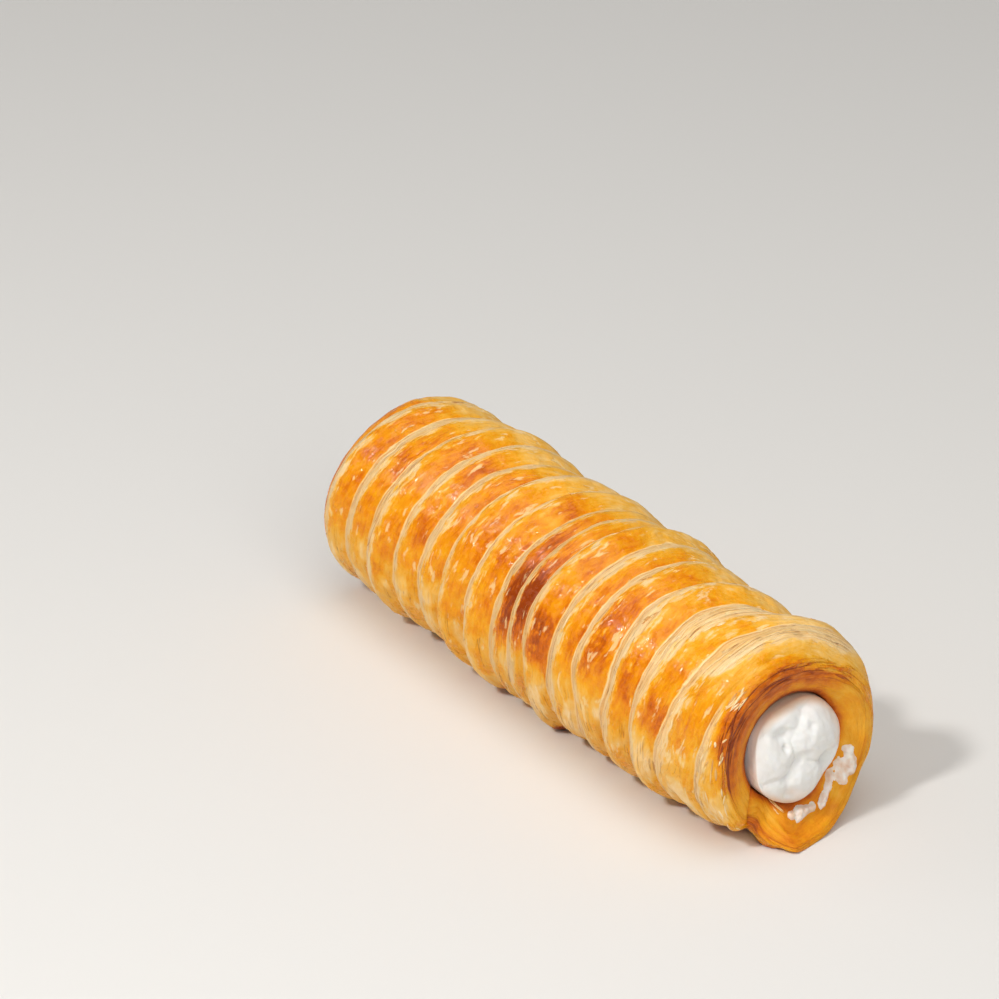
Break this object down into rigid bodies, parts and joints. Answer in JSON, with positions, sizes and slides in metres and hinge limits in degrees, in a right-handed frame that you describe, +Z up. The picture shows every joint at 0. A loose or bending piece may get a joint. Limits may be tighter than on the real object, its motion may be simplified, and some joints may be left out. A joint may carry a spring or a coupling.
{
  "type": "cream roll",
  "caption": "Flaky puff pastry tube, wound in glazed ridges round a core of whipped cream that shows at both open ends.",
  "frame": {"origin": "middle of the base of the bounding box, on the surface that the roll lies on", "axes": "+X along the tube towards the mouth with the pointed lower lip, +Z up"},
  "size_m": [0.1344, 0.0446, 0.042],
  "materials": {
    "pastry": "baked, egg-washed, semi-gloss",
    "cream": "soft satin"
  },
  "bodies": {
    "root": {"pastry_roll": "pastry", "cream_filling": "cream"}
  },
  "joints": []
}
